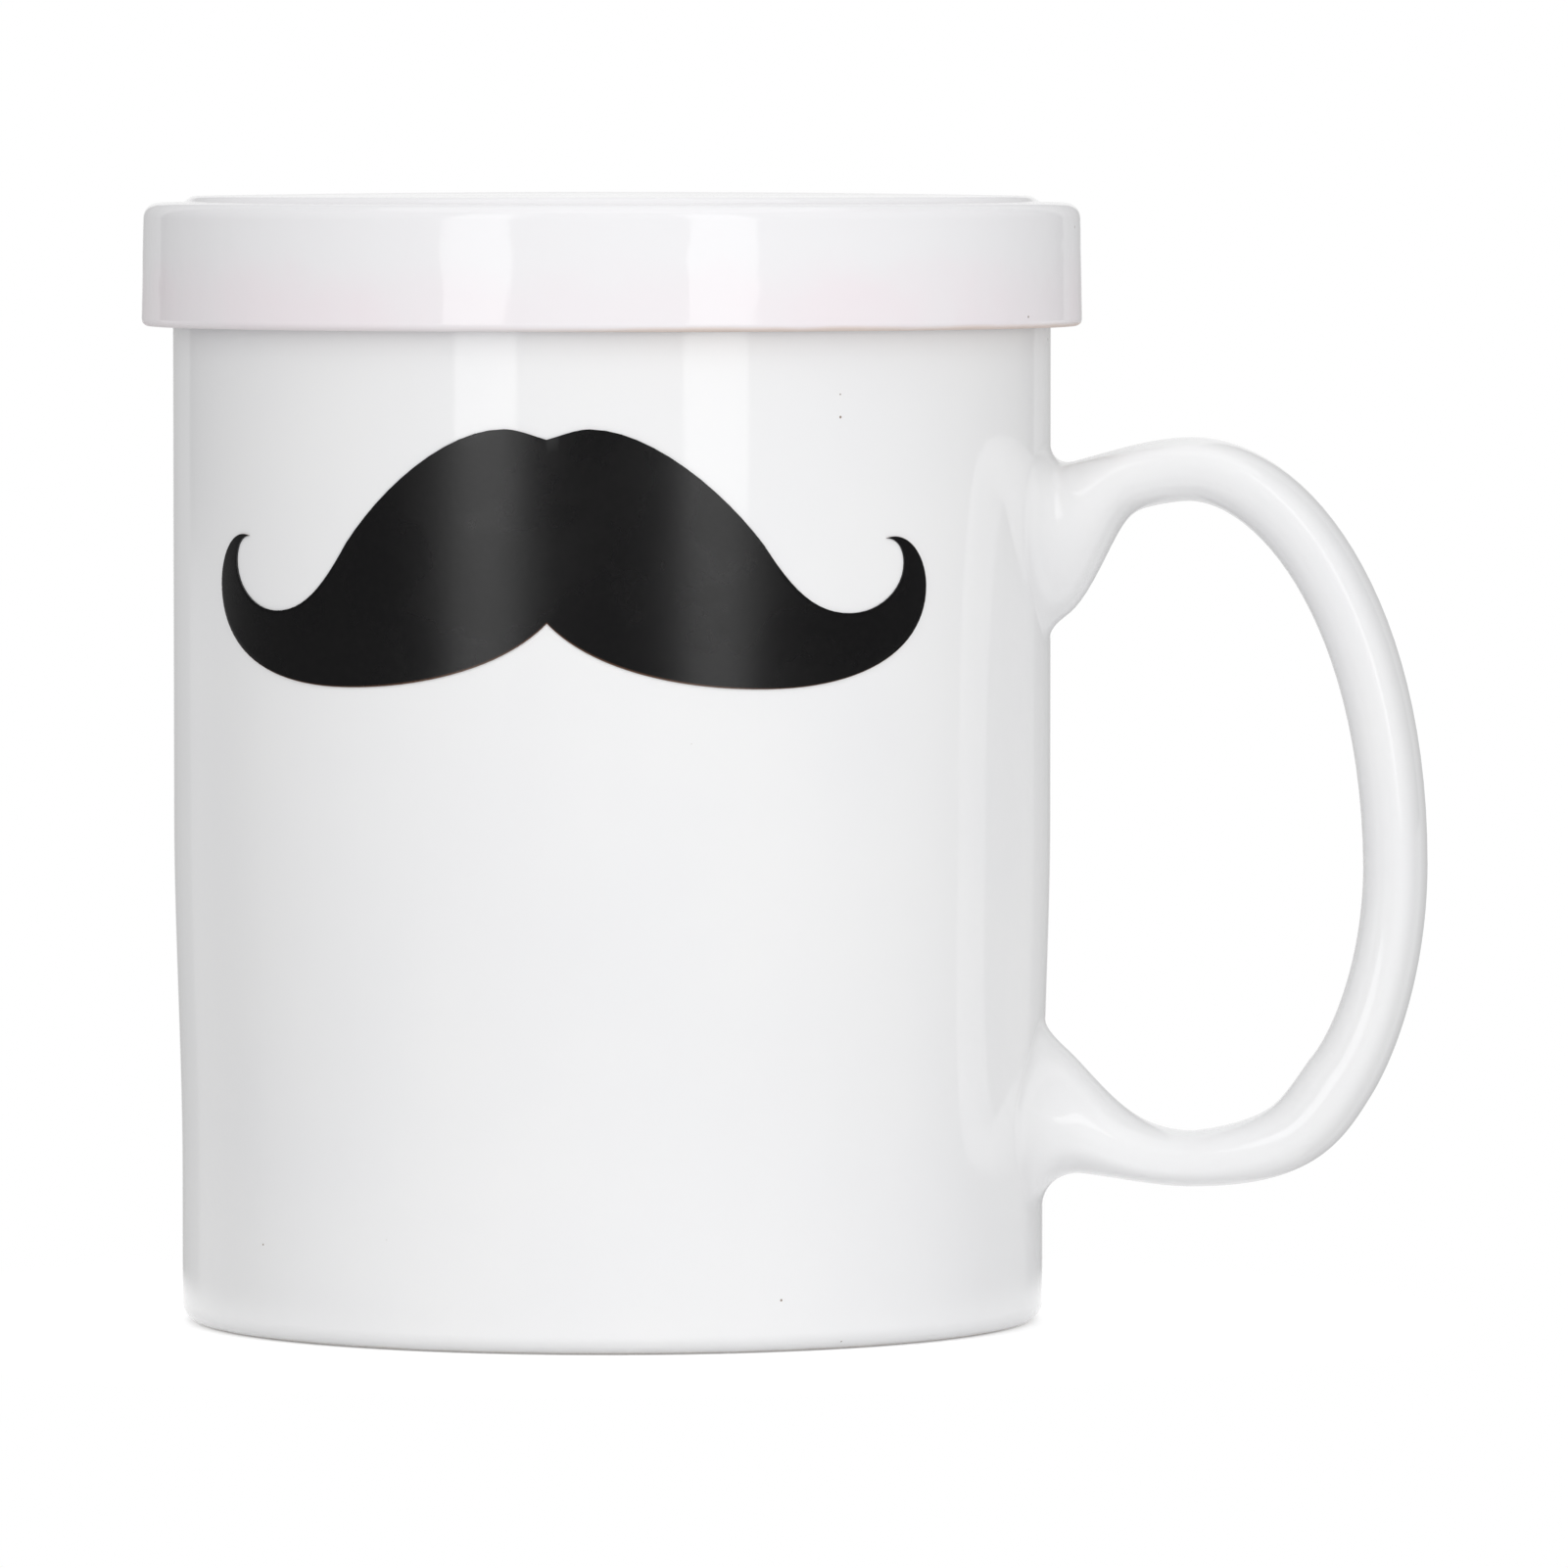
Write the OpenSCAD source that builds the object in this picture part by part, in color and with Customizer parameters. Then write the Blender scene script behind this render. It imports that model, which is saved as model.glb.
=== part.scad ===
// A straight-sided ceramic mug with a cap lid, a loop handle and a mustache transfer.
// The origin is the centre of the foot. The handle points along +X and the transfer faces -Y.

/* [Cup] */
// Outer diameter of the cup at its rim
cup_d = 80; // [66:1:110]
// Height of the cup from its foot to its rim
cup_h = 98.4; // [82:0.2:130]
// Thickness of the wall
wall_t = 3.6; // [2.6:0.1:6]
// Thickness of the floor
floor_t = 5; // [3:0.5:10]
// How far the wall draws in towards the foot
draw_in = 0.7; // [0:0.1:2]
// Height at which the draw-in has come to its end
draw_low_z = 14; // [12:1:25]
// Height above which the wall is straight
draw_high_z = 46; // [35:1:60]
// Radius of the edges of the rim
rim_round = 1.5; // [0.5:0.1:3]
// Radius between the wall and the floor inside
inside_round = 8; // [3:0.5:14]

/* [Foot] */
// Radius of the outer bottom edge
foot_round = 1.8; // [0.5:0.1:3]
// Width of the ring that the cup stands on
foot_ring_w = 4.5; // [2:0.5:8]
// Depth of the recess inside the foot ring
foot_recess = 1.6; // [0.5:0.1:3]
// Radius of the edges of the recess
recess_round = 0.5; // [0.2:0.1:1]

/* [Lid] */
// Gap at rest between the rim and the lid
lid_seat = 0.1; // [0:0.05:0.3]
// Radial gap between the cup and the skirt
lid_clearance = 0.5; // [0.3:0.1:1.5]
// Thickness of the skirt at its lower edge
skirt_t = 2.35; // [1.6:0.05:5]
// How far the skirt reaches down below the rim
skirt_drop = 7.8; // [4:0.2:11]
// How much the skirt narrows from its lower edge to the top
lid_draft = 0.2; // [0:0.05:0.5]
// Thickness of the plate over the rim
plate_t = 3.4; // [2.6:0.1:6]
// Radius of the top edge of the lid
lid_round = 1.4; // [0.5:0.1:2.4]
// Radius of the edges of the lower lip
lip_round = 0.7; // [0.2:0.1:0.8]
// Radius between the skirt and the plate inside
lid_inside_round = 0.8; // [0.3:0.1:1.2]
// Distance from the lid's top edge to the raised panel
panel_inset = 3.4; // [2.6:0.1:12]
// Width of the slope up to the raised panel
panel_slope = 1.2; // [0.6:0.1:3]
// Height of the raised panel at its edge
panel_h = 0.6; // [0.2:0.1:2]
// Extra height of the raised panel at its centre
panel_crown = 0.35; // [0.1:0.05:2]

/* [Handle] */
// Distance from the wall to the outermost point of the handle
handle_reach = 34.5; // [28:0.5:50]
// Height of the handle from its lowest to its highest point
handle_h = 68; // [58:1:78]
// How far the middle of the handle lies above the middle of the wall below the lid
handle_rise = 1.35; // [-2:0.05:4]
// Thickness of the grip, seen from the side
handle_t = 5.8; // [4:0.1:9]
// Width of the grip
handle_w = 12; // [8:0.5:20]
// Width of both roots
root_w = 15.6; // [10:0.2:24]
// Height of the upper root on the wall
upper_root_h = 14.2; // [10:0.1:20]
// Height of the lower root on the wall
lower_root_h = 12.2; // [9:0.1:18]
// Distance from the wall at which the upper root has lost two thirds of its extra height
upper_root_len = 4.4; // [3:0.1:6]
// Distance from the wall at which the lower root has lost two thirds of its extra height
lower_root_len = 5.2; // [3:0.1:6]
// Distance from the wall at which both roots have lost two thirds of their extra width
root_flare_len = 3; // [2:0.1:6]

/* [Joint slip] */
// Thickness of the slip between a root and the wall
slip_t = 0.4; // [0.2:0.1:1]
// Radius of the fillet of slip around a root
slip_round = 1.5; // [0.8:0.1:3]

/* [Mustache] */
// Width of the mustache along the wall
mustache_w = 73.3; // [50:0.1:84]
// Height of the mustache
mustache_h = 23.06; // [12:0.02:26]
// Bare wall between the lower edge of the lid and the top of the mustache
mustache_gap = 8.6; // [2:0.1:25]
// Thickness of the transfer
transfer_t = 0.15; // [0.1:0.05:0.5]

/* [Hidden] */
$fn = 96;

// How far a cutting shape passes the face that it cuts
overrun = 1;
// Steps in a rounded edge, in the draw-in, in a curve of an outline and around the handle
round_steps = 6;
draw_steps = 12;
curve_steps = 12;
section_steps = 28;

cup_r = cup_d / 2;
base_r = cup_r - draw_in;
foot_r = base_r - foot_round;
ring_r = foot_r - foot_ring_w;
floor_z = foot_recess + floor_t;
rim_edge = min(rim_round, wall_t / 2);
recess_edge = min(recess_round, foot_recess / 2);

lid_bore_r = cup_r + lid_clearance;
lip_edge = min(lip_round, skirt_t / 2);
lid_low_r = lid_bore_r + skirt_t;
lid_top_r = lid_low_r - lid_draft;
lid_under_z = cup_h + lid_seat;
lid_low_z = lid_under_z - skirt_drop;
lid_edge_z = lid_under_z + plate_t;
panel_r = lid_top_r - panel_inset - panel_slope;
panel_z = lid_edge_z + panel_h;

handle_low_z = (lid_low_z - handle_h) / 2 + handle_rise;
mustache_low_z = lid_low_z - mustache_gap - mustache_h;

// How far the roots start inside the wall, past its curve and its draw-in
root_sink = overrun + draw_in + cup_r - sqrt(cup_r ^ 2 - (root_w / 2 + slip_round) ^ 2);
// How far the fillet of slip ends inside the handle
slip_bite = slip_round / 6;

// How far out the top and the bottom of the handle are. The first and last curves of its outline
// cross this stretch in even steps.
crest_share = 0.38;
// Outer outline of the handle from its upper to its lower root, as curves of four points.
// A point is a share of the reach out from the wall and a share of the height.
outline_shares = [
    [[0, 0.959], [crest_share / 3, 0.973], [crest_share * 2 / 3, 1], [crest_share, 1]],
    [[crest_share, 1], [0.68, 1], [1, 0.79], [1, 0.43]],
    [[1, 0.43], [1, 0.285], [0.915, 0.172], [0.855, 0.122]],
    [[0.855, 0.122], [0.775, 0.055], [0.7, 0], [crest_share, 0]],
    [[crest_share, 0], [crest_share * 2 / 3, 0], [crest_share / 3, 0.02], [0, 0.018]]
];
// The curve that ends at the lower root
last_curve = len(outline_shares) - 1;
// Thickness of the grip at the start, the middle and the end of each of these curves
grip_shares = [
    [1, 1, 1], [1, 1.02, 0.98], [0.98, 1.02, 1.12], [1.12, 1.09, 0.85], [0.85, 0.85, 0.85]
];
// How much broader the outer side of a root is than its middle
root_egg_share = 0.75;

// Right half of the mustache from its upper to its lower notch, as curves of four points.
// A point is a share of the half width and a share of the height.
mustache_shares = [
    [[0, 0.96], [0.035, 0.975], [0.07, 1], [0.105, 1]],
    [[0.105, 1], [0.25, 1], [0.43, 0.757], [0.53, 0.555]],
    [[0.53, 0.555], [0.605, 0.39], [0.68, 0.287], [0.766, 0.287]],
    [[0.766, 0.287], [0.85, 0.287], [0.927, 0.375], [0.927, 0.475]],
    [[0.927, 0.475], [0.927, 0.535], [0.905, 0.57], [0.872, 0.573]],
    [[0.872, 0.573], [0.94, 0.605], [1, 0.5], [1, 0.385]],
    [[1, 0.385], [1, 0.15], [0.8, 0], [0.54, 0]],
    [[0.54, 0], [0.3, 0], [0.1, 0.11], [0, 0.256]]
];

function smooth(t) = t <= 0 ? 0 : t >= 1 ? 1 : t ^ 2 * (3 - 2 * t);

function bezier(p, t) =
    p[0] * (1 - t) ^ 3 + p[1] * 3 * t * (1 - t) ^ 2 + p[2] * 3 * t ^ 2 * (1 - t) + p[3] * t ^ 3;

function bezier_slope(p, t) =
    (p[1] - p[0]) * 3 * (1 - t) ^ 2 + (p[2] - p[1]) * 6 * t * (1 - t) + (p[3] - p[2]) * 3 * t ^ 2;

// The value at t of the curve through start, middle and end
function through(v, t) =
    v[0] * (1 - t) * (1 - 2 * t) + v[1] * 4 * t * (1 - t) + v[2] * t * (2 * t - 1);

function arc(centre, radius, from, to) =
    [for (i = [0:round_steps])
        let (a = from + (to - from) * i / round_steps)
        centre + radius * [cos(a), sin(a)]];

function reversed(list) = [for (i = [len(list) - 1:-1:0]) list[i]];

function wall_r(z) =
    base_r + draw_in * smooth((z - draw_low_z) / (draw_high_z - draw_low_z));

// The drawn-in stretch of the wall, moved out by grow
function drawn_wall(grow) =
    [for (i = [0:draw_steps])
        let (z = draw_low_z + (draw_high_z - draw_low_z) * i / draw_steps)
        [wall_r(z) + grow, z]];

// The outer shape of the cup with no hollow and a sharp foot, moved out by grow
module filled_cup(grow) {
    rotate_extrude()
        polygon(concat(
            [[0, 0], [base_r + grow, 0]],
            drawn_wall(grow),
            [[cup_r + grow, cup_h], [0, cup_h]]
        ));
}

module cup() {
    inside_r = base_r - wall_t;
    inside_low_z = floor_z + inside_round;
    inside_wall = [for (p = reversed(drawn_wall(-wall_t))) if (p[1] > inside_low_z) p];
    color("white")
        rotate_extrude()
            polygon(concat(
                arc([ring_r + recess_edge, recess_edge], recess_edge, 180, 270),
                arc([foot_r, foot_round], foot_round, -90, 0),
                drawn_wall(0),
                arc([cup_r - rim_edge, cup_h - rim_edge], rim_edge, 0, 90),
                arc([cup_r - wall_t + rim_edge, cup_h - rim_edge], rim_edge, 90, 180),
                inside_wall,
                arc([inside_r - inside_round, inside_low_z], inside_round, 0, -90),
                [[0, floor_z], [0, foot_recess]],
                arc([ring_r - recess_edge, foot_recess - recess_edge], recess_edge, 90, 0)
            ));
}

module lid() {
    crown = [for (i = [0:round_steps])
        let (share = 1 - i / round_steps)
        [panel_r * share, panel_z + panel_crown * (1 - share ^ 2)]];
    slope = [for (i = [0:round_steps])
        let (share = i / round_steps)
        [panel_r + panel_slope * (1 - share), lid_edge_z + panel_h * smooth(share)]];
    color("white")
        rotate_extrude()
            polygon(concat(
                arc([lid_bore_r + lip_edge, lid_low_z + lip_edge], lip_edge, 180, 270),
                arc([lid_low_r - lip_edge, lid_low_z + lip_edge], lip_edge, -90, 0),
                arc([lid_top_r - lid_round, lid_edge_z - lid_round], lid_round, 0, 90),
                slope,
                [for (i = [1:round_steps]) crown[i]],
                [[0, lid_under_z]],
                arc([lid_bore_r - lid_inside_round, lid_under_z - lid_inside_round],
                    lid_inside_round, 90, 0)
            ));
}

// One ring of points around the handle. It starts at an outer point, in the plane of the handle,
// and lies along the inward direction. Near the wall it wraps around the cup.
function ring(outer, inward, thick, wide, root, grow) =
    let (
        egg = root_egg_share * root,
        peak = max([for (i = [0:section_steps])
            let (a = 180 * i / section_steps)
            sin(a) * (1 + egg * cos(a))])
    )
    [for (i = [0:section_steps - 1])
        let (
            a = 360 * i / section_steps,
            depth = thick / 2 - (thick / 2 + grow) * cos(a),
            p = outer + inward * depth,
            y = (wide / 2 + grow) * sin(a) * (1 + egg * cos(a)) / peak,
            wrapped = sqrt(p[0] ^ 2 - y ^ 2)
        )
        [p[0] + (wrapped - p[0]) * root, y, p[1]]];

// What is left of the spread of a root at a distance from the wall. A higher power gives fuller shoulders.
function spread(distance, length, power = 2) = exp(-(distance / length) ^ power);

// The ring of the handle at t along one of the curves of its outline
function handle_ring(curve, t, grow = 0) =
    let (
        size = [handle_reach, handle_h],
        share = bezier(outline_shares[curve], t),
        slope = bezier_slope(outline_shares[curve], t),
        run = [slope[0] * size[0], slope[1] * size[1]],
        upper = curve < last_curve / 2,
        distance = share[0] * size[0],
        root_h = upper ? upper_root_h : lower_root_h,
        root = upper ? spread(distance, upper_root_len, 3) : spread(distance, lower_root_len),
        along_wall = [0, upper ? -1 : 1],
        upright = sqrt(root),
        inward = [run[1], -run[0]] / norm(run) * (1 - upright) + along_wall * upright,
        grip_t = handle_t * through(grip_shares[curve], t)
    )
    ring(
        [cup_r + distance, handle_low_z + share[1] * size[1]],
        inward / norm(inward),
        grip_t + (root_h - grip_t) * root,
        handle_w + (root_w - handle_w) * spread(distance, root_flare_len),
        root,
        grow
    );

// The same ring moved into the wall
function sunk(points) = [for (p = points) [p[0] - root_sink, p[1], p[2]]];

// The middle of a list of points
function middle(points) = [for (p = points) 1] * points / len(points);

// A closed skin over a row of rings
module skin(rings) {
    n = section_steps;
    last = len(rings) - 1;
    ends = [middle(rings[0]), middle(rings[last])];
    low = n * len(rings);
    high = low + 1;
    sides = [for (k = [0:last - 1], i = [0:n - 1])
        let (j = (i + 1) % n, a = k * n, b = a + n)
        each [[a + i, b + j, b + i], [a + i, a + j, b + j]]];
    caps = [for (i = [0:n - 1])
        let (j = (i + 1) % n, a = last * n)
        each [[low, j, i], [high, a + i, a + j]]];
    polyhedron(concat([for (r = rings) each r], ends), concat(sides, caps), convexity = 6);
}

module handle() {
    rings = concat(
        [for (k = [0:last_curve], i = [0:curve_steps - 1]) handle_ring(k, i / curve_steps)],
        [handle_ring(last_curve, 1)]
    );
    color("white")
        difference() {
            skin(concat([sunk(rings[0])], rings, [sunk(rings[len(rings) - 1])]));
            filled_cup(slip_t);
        }
}

// The ring of the handle at a distance from the wall, on its first or its last curve
function root_ring(curve, distance, grow) =
    let (t = distance / (crest_share * handle_reach))
    handle_ring(curve, curve == 0 ? t : 1 - t, grow);

// The pad and the fillet of slip that hold one root on the wall
module joint_slip(curve) {
    fillet = [for (i = [0:round_steps])
        let (a = 90 * i / round_steps)
        root_ring(
            curve,
            slip_t + slip_round * (1 - cos(a)),
            slip_round * (1 - sin(a)) - slip_bite * i / round_steps
        )];
    rings = concat([sunk(root_ring(curve, 0, slip_round))], fillet);
    difference() {
        skin(curve == 0 ? rings : reversed(rings));
        filled_cup(0);
        handle();
    }
}

module upper_joint_slip() {
    color("white") joint_slip(0);
}

module lower_joint_slip() {
    color("white") joint_slip(last_curve);
}

// A point of the mustache, seen from the front, where it lies on the wall
function mustache_point(share, side) =
    let (angle = share[0] * mustache_w / cup_d * 180 / PI)
    [side * (cup_r + transfer_t) * sin(angle), mustache_low_z + share[1] * mustache_h];

module mustache_transfer() {
    half = [for (c = mustache_shares, i = [0:curve_steps - 1]) bezier(c, i / curve_steps)];
    notch = mustache_shares[len(mustache_shares) - 1][3];
    outline = concat(
        [for (p = half) mustache_point(p, 1)],
        [mustache_point(notch, 1)],
        [for (i = [len(half) - 1:-1:1]) mustache_point(half[i], -1)]
    );
    color("black")
        intersection() {
            rotate([90, 0, 0]) linear_extrude(cup_r + transfer_t + overrun) polygon(outline);
            difference() {
                filled_cup(transfer_t);
                filled_cup(0);
            }
        }
}

cup();
handle();
upper_joint_slip();
lower_joint_slip();
mustache_transfer();
lid();
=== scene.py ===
"""A white glazed mug with a cap lid, a loop handle and a black mustache transfer."""
import math

import bmesh
import bpy
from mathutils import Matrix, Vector


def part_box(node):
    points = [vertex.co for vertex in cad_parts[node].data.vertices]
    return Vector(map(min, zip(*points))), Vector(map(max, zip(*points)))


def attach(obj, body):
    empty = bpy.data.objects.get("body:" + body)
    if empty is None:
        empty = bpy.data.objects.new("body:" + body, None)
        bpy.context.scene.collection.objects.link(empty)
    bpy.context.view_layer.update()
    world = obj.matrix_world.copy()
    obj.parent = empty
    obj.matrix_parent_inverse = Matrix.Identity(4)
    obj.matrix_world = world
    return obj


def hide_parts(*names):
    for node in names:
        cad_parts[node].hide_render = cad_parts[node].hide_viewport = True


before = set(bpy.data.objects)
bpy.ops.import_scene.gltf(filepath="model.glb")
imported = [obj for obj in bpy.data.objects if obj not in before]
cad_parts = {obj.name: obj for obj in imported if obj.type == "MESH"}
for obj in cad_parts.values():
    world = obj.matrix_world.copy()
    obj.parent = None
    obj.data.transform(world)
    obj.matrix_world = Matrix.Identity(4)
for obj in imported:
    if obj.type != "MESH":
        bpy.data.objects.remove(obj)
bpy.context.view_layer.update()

MM = 0.001

# Sizes that the frame gives
cup_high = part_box("cup")[1]
lid_low, lid_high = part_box("lid")
handle_low, handle_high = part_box("handle")
print_low, print_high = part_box("mustache_transfer")

CUP_R = cup_high.x
CUP_H = cup_high.z
LID_LOW_Z = lid_low.z
LID_LOW_R = lid_high.x
LID_TOP_Z = lid_high.z
HANDLE_LOW_Z = handle_low.z
HANDLE_H = handle_high.z - handle_low.z
HANDLE_REACH = handle_high.x - CUP_R
TRANSFER_T = -print_low.y - CUP_R
MUSTACHE_LOW_Z = print_low.z
MUSTACHE_H = print_high.z - print_low.z
MUSTACHE_HALF_W = CUP_R * math.asin(print_high.x / (CUP_R + TRANSFER_T))

# Cup
WALL_T = 3.6 * MM
FLOOR_T = 5 * MM
DRAW_IN = 0.7 * MM
DRAW_LOW_Z = 14 * MM
DRAW_HIGH_Z = 46 * MM
RIM_ROUND = 1.5 * MM
INSIDE_ROUND = 8 * MM
FOOT_ROUND = 1.8 * MM
FOOT_RING_W = 4.5 * MM
FOOT_RECESS = 1.6 * MM
RECESS_ROUND = 0.5 * MM
BASE_R = CUP_R - DRAW_IN
RING_R = BASE_R - FOOT_ROUND - FOOT_RING_W
FLOOR_Z = FOOT_RECESS + FLOOR_T

# Lid
SKIRT_T = 2.35 * MM
LID_SEAT = 0.1 * MM
LID_DRAFT = 0.2 * MM
PLATE_T = 3.4 * MM
LID_ROUND = 1.4 * MM
LIP_ROUND = 0.7 * MM
LID_INSIDE_ROUND = 0.8 * MM
PANEL_INSET = 3.4 * MM
PANEL_SLOPE = 1.2 * MM
PANEL_H = 0.6 * MM
LID_BORE_R = LID_LOW_R - SKIRT_T
LID_TOP_R = LID_LOW_R - LID_DRAFT
LID_UNDER_Z = CUP_H + LID_SEAT
LID_EDGE_Z = LID_UNDER_Z + PLATE_T
PANEL_R = LID_TOP_R - PANEL_INSET - PANEL_SLOPE
PANEL_Z = LID_EDGE_Z + PANEL_H

# Handle and the slip that holds it
HANDLE_T = 5.8 * MM
HANDLE_W = 12 * MM
UPPER_ROOT_H = 14.1 * MM
LOWER_ROOT_H = 12.2 * MM
UPPER_ROOT_LEN = 4.5 * MM
LOWER_ROOT_LEN = 5.2 * MM
# How full the shoulders of each root are
UPPER_ROOT_FULLNESS = 3.4
LOWER_ROOT_FULLNESS = 2
# How far the slip reaches out along a root
SLIP_REACH = 1.9 * MM
# Radius of the fillet at each root: on its outer side, on its inner side and on its flanks
UPPER_ROUNDS = (2.3 * MM, 1.8 * MM, 3.5 * MM)
LOWER_ROUNDS = (3.8 * MM, 2 * MM, 4 * MM)
ROOT_SINK = 1.2 * MM
# How much squarer than an ellipse the handle is across
GRIP_SQUARE = 0.2
# The same for the flanks of each root, which have a ridge where this is below 0
UPPER_ROOT_FLANK = 0
LOWER_ROOT_FLANK = -0.4

# Print
PRINT_SINK = 0.05 * MM
PRINT_ROUND = 0.06 * MM

# How far out the top and the bottom of the handle are, as a share of its reach
CREST_SHARE = 0.38
# Outer outline of the handle from its upper to its lower root, as curves of four points.
# A point is a share of the reach out from the wall and a share of the height.
OUTLINE_SHARES = [
    [(0, 0.959), (CREST_SHARE / 3, 0.973), (CREST_SHARE * 2 / 3, 1), (CREST_SHARE, 1)],
    [(CREST_SHARE, 1), (0.68, 1), (1, 0.79), (1, 0.43)],
    [(1, 0.43), (1, 0.285), (0.915, 0.172), (0.855, 0.122)],
    [(0.855, 0.122), (0.775, 0.055), (0.7, 0), (CREST_SHARE, 0)],
    [(CREST_SHARE, 0), (CREST_SHARE * 2 / 3, 0), (CREST_SHARE / 3, 0.02), (0, 0.018)],
]
LAST_CURVE = len(OUTLINE_SHARES) - 1
# Thickness of the grip at the start, the middle and the end of each of these curves
GRIP_SHARES = [(1, 1, 1), (1, 1.02, 0.98), (0.98, 1.02, 1.12), (1.12, 1.09, 0.85), (0.85, 0.85, 0.85)]
# How much broader the outer side of the grip and of a root is than its middle
GRIP_EGG_SHARE = 0.1
ROOT_EGG_SHARE = 0.25

# Right half of the mustache: its upper and its lower edge from the middle notch to the tip of the curl,
# in stretches that lie opposite each other. A point is a share of the half width and of the height.
UPPER_EDGE_SHARES = [
    [[(0, 0.96), (0.035, 0.975), (0.07, 1), (0.105, 1)],
     [(0.105, 1), (0.25, 1), (0.43, 0.757), (0.53, 0.555)]],
    [[(0.53, 0.555), (0.603, 0.382), (0.664, 0.287), (0.766, 0.287)],
     [(0.766, 0.287), (0.85, 0.287), (0.927, 0.375), (0.927, 0.475)]],
    [[(0.927, 0.475), (0.927, 0.535), (0.905, 0.57), (0.872, 0.573)]],
]
LOWER_EDGE_SHARES = [
    [[(0, 0.256), (0.1, 0.09), (0.3, 0), (0.54, 0)]],
    [[(0.54, 0), (0.8, 0), (1, 0.15), (1, 0.385)]],
    [[(1, 0.385), (1, 0.5), (0.94, 0.605), (0.872, 0.573)]],
]

# How finely the pieces are made
SIDES = 256
ROUND_STEPS = 8
DRAW_STEPS = 16
SECTION_SIDES = 96
CURVE_STEPS = 28
PRINT_STEPS = 72
CROSS_STEPS = 12
AXIS_RING = 2 * MM
NEAR = 0.01 * MM
SMOOTH_ANGLE = math.radians(40)
# From which angle on an edge of the print is rounded
EDGE_ANGLE = math.radians(57)
EDGE_STEPS = 3
# How far the large faces lead the shading of the rounds beside them
FACE_WEIGHT = 100


# Modelling

def deselect_everything():
    if bpy.context.mode != "OBJECT":
        bpy.ops.object.mode_set(mode="OBJECT")
    bpy.ops.object.select_all(action="DESELECT")


def make_active(piece):
    deselect_everything()
    piece.select_set(True)
    bpy.context.view_layer.objects.active = piece


def apply_modifier(piece, kind, **settings):
    make_active(piece)
    modifier = piece.modifiers.new(kind.lower(), kind)
    for key, value in settings.items():
        setattr(modifier, key, value)
    bpy.ops.object.modifier_apply(modifier=modifier.name)


def smooth_step(t):
    t = min(max(t, 0), 1)
    return t * t * (3 - 2 * t)


def start_ring(name, radius, height, sides):
    """A new piece that is one ring around the axis so far, selected in edit mode."""
    deselect_everything()
    bpy.ops.mesh.primitive_circle_add(vertices=sides, radius=radius, location=(0, 0, height))
    piece = bpy.context.object
    piece.name = name
    piece.data.name = name
    bpy.ops.object.transform_apply(location=True, rotation=True, scale=True)
    bpy.ops.object.mode_set(mode="EDIT")
    bpy.ops.mesh.select_mode(type="EDGE")
    bpy.ops.mesh.select_all(action="SELECT")
    return piece


def choose_ring(piece, radius, height):
    """Selects the ring of edges at this radius and height, and nothing else."""
    bpy.ops.mesh.select_all(action="DESELECT")
    mesh = bmesh.from_edit_mesh(piece.data)
    ring = {
        v for v in mesh.verts
        if abs(v.co.z - height) < NEAR and abs(math.hypot(v.co.x, v.co.y) - radius) < NEAR
    }
    for edge in mesh.edges:
        edge.select_set(all(v in ring for v in edge.verts))
    bmesh.update_edit_mesh(piece.data)


def close_on_axis(piece, radius, height):
    choose_ring(piece, radius, height)
    bpy.ops.mesh.extrude_region_move()
    bpy.ops.mesh.merge(type="CENTER")


def turn_on_wheel(name, profile, rounds):
    """A closed turned piece. The profile runs from one ring near the axis to another, as corners of
    (radius, height), and rounds gives the corners that are rounded, each with its radius."""
    piece = start_ring(name, profile[0][0], profile[0][1], SIDES)
    for (radius, height), (next_radius, next_height) in zip(profile, profile[1:]):
        bpy.ops.mesh.extrude_region_move(TRANSFORM_OT_translate={"value": (0, 0, next_height - height)})
        share = next_radius / radius
        bpy.ops.transform.resize(value=(share, share, 1), center_override=(0, 0, next_height))
    for radius, height in (profile[0], profile[-1]):
        close_on_axis(piece, radius, height)
    for (radius, height), size in rounds:
        choose_ring(piece, radius, height)
        bpy.ops.mesh.bevel(
            offset=size, offset_type="OFFSET", segments=ROUND_STEPS, affect="EDGES", clamp_overlap=False
        )
    bpy.ops.mesh.select_all(action="SELECT")
    bpy.ops.mesh.remove_doubles(threshold=NEAR / 10)
    bpy.ops.mesh.normals_make_consistent(inside=False)
    bpy.ops.object.mode_set(mode="OBJECT")
    bpy.ops.object.shade_smooth_by_angle(angle=SMOOTH_ANGLE)
    apply_modifier(piece, "WEIGHTED_NORMAL", keep_sharp=True, weight=FACE_WEIGHT)
    return piece


# Cup and lid

def wall_r(z):
    return BASE_R + DRAW_IN * smooth_step((z - DRAW_LOW_Z) / (DRAW_HIGH_Z - DRAW_LOW_Z))


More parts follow.
